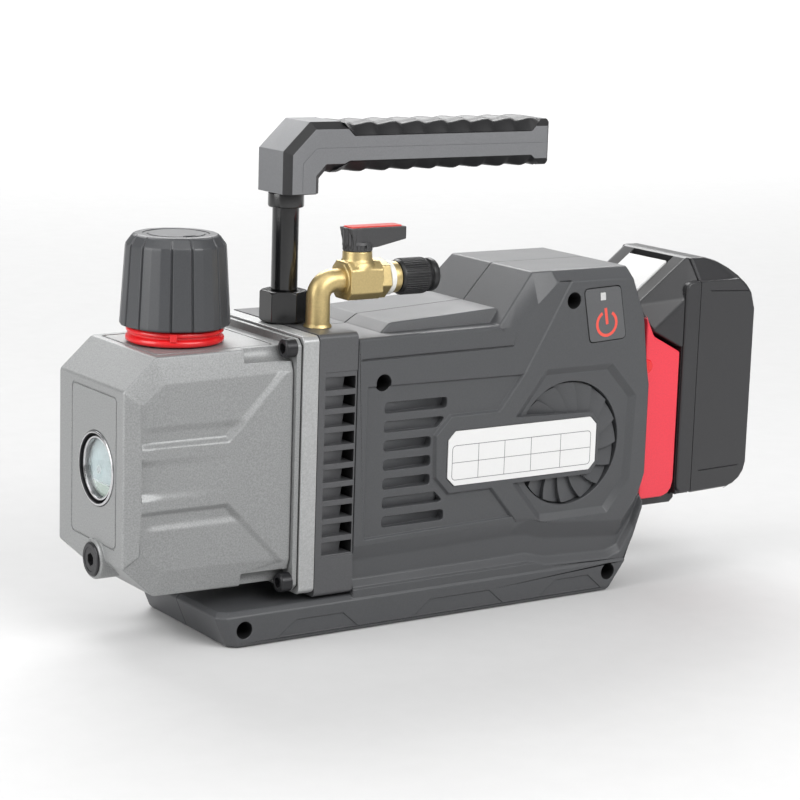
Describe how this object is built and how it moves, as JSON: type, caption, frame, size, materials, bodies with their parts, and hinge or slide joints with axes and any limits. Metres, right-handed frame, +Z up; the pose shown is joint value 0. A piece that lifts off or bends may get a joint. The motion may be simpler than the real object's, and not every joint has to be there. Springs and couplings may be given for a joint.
{
  "type": "cordless vacuum pump",
  "caption": "Cordless rotary vane vacuum pump for refrigeration service, with an oil casing and sight glass, intake ball valve, carry handle and slide-on battery.",
  "frame": {"origin": "centre of the footprint's bounding box on the floor, under the pump", "axes": "+X along the pump from the oil casing towards the battery, +Z up, -Y the side with the power button and label"},
  "size_m": [0.366, 0.083, 0.238],
  "materials": {
    "battery_plastic": "satin black",
    "black_rubber": "matte",
    "black_steel": "black oxide or black paint",
    "brass": "blasted brass",
    "bright_aluminium": "machined and blasted",
    "cap_plastic": "satin moulded",
    "cast_aluminium": "satin silver-grey paint on die-cast aluminium",
    "cast_iron": "machined grey iron",
    "copper_windings": "laminated steel and copper rotor",
    "dark_aluminium": "dark grey powder coat",
    "glass": "clear",
    "green_board": "solder mask",
    "grip_plastic": "satin moulded",
    "housing_plastic": "fine spark texture",
    "light_plastic": "light grey moulded",
    "paper_gasket": "gasket sheet",
    "red_plastic": "moulded red",
    "steel": "machined",
    "vane_composite": "carbon-resin composite",
    "white_label": "laminated label",
    "white_ptfe": "soft white"
  },
  "bodies": {
    "pump": {"battery_dock": "red_plastic", "cartridge_cover": "cast_iron", "casing_gasket": "paper_gasket", "casing_screw_1": "black_steel", "casing_screw_2": "black_steel", "casing_screw_3": "black_steel", "casing_screw_4": "black_steel", "controller_board": "green_board", "fill_collar": "red_plastic", "finned_bracket": "dark_aluminium", "flange_plate": "bright_aluminium", "flare_nipple": "brass", "front_bearing": "steel", "grip_pad_lower": "black_rubber", "grip_pad_upper": "black_rubber", "handle_grip": "grip_plastic", "handle_nut": "black_steel", "handle_rod": "black_steel", "high_stage_stator": "cast_iron", "housing_screw_1": "black_steel", "housing_screw_2": "black_steel", "housing_screw_3": "black_steel", "housing_screw_4": "black_steel", "intake_elbow": "brass", "label_plate": "white_label", "left_housing": "housing_plastic", "low_stage_stator": "cast_iron", "motor_can": "black_steel", "oil_casing": "cast_aluminium", "rear_bearing": "steel", "right_housing": "housing_plastic", "shaft_seal": "black_rubber", "sight_glass": "glass", "sight_glass_ring": "steel", "terminal_block": "black_rubber", "thread_seal": "white_ptfe", "valve_body": "brass"},
    "drivetrain": {"low_stage_rotor": "steel", "high_stage_rotor": "steel", "low_stage_vane_a": "vane_composite", "low_stage_vane_b": "vane_composite", "high_stage_vane_a": "vane_composite", "high_stage_vane_b": "vane_composite", "shaft_coupling": "bright_aluminium", "motor_rotor": "copper_windings", "cooling_fan": "cap_plastic"},
    "fill_cap_body": {"fill_cap": "cap_plastic", "exhaust_baffle": "light_plastic"},
    "valve_handle": {"valve_lever": "cap_plastic", "lever_insert": "red_plastic", "valve_stem": "brass", "valve_ball": "steel"},
    "service_cap": {"flare_cap": "cap_plastic"},
    "drain_plug_body": {"drain_plug": "black_steel"},
    "power_switch": {"power_button": "cap_plastic", "led_window": "light_plastic"},
    "battery": {"battery_case": "battery_plastic", "battery_cover": "battery_plastic", "cell_pack": "steel"},
    "battery_release": {"battery_latch": "light_plastic"}
  },
  "joints": [
    {"name": "drive_spin", "type": "hinge", "parent": "pump", "child": "drivetrain", "pos_m": [0, 0, 0.0825], "axis": [1, 0, 0], "continuous": true},
    {"name": "fill_cap_turn", "type": "hinge", "parent": "pump", "child": "fill_cap_body", "pos_m": [-0.1375, 0, 0.165], "axis": [0, 0, 1], "range_deg": [0, 360]},
    {"name": "valve_turn", "type": "hinge", "parent": "pump", "child": "valve_handle", "pos_m": [-0.052, -0.02, 0.18], "axis": [0, 0, 1], "range_deg": [-90, 0]},
    {"name": "service_cap_turn", "type": "hinge", "parent": "pump", "child": "service_cap", "pos_m": [-0.02, -0.02, 0.1645], "axis": [1, 0, 0], "range_deg": [0, 360]},
    {"name": "drain_plug_turn", "type": "hinge", "parent": "pump", "child": "drain_plug_body", "pos_m": [-0.18, -0.006, 0.041], "axis": [-1, 0, 0], "range_deg": [0, 360]},
    {"name": "power_press", "type": "slide", "parent": "pump", "child": "power_switch", "axis": [0, 1, 0], "range_m": [0, 0.001], "stiffness_N_per_m": 800},
    {"name": "battery_slide", "type": "slide", "parent": "pump", "child": "battery", "axis": [0, 0, 1], "range_m": [0, 0.11]},
    {"name": "release_press", "type": "slide", "parent": "battery", "child": "battery_release", "axis": [0.8069, 0, 0.5906], "range_m": [0, 0.003], "stiffness_N_per_m": 600}
  ]
}
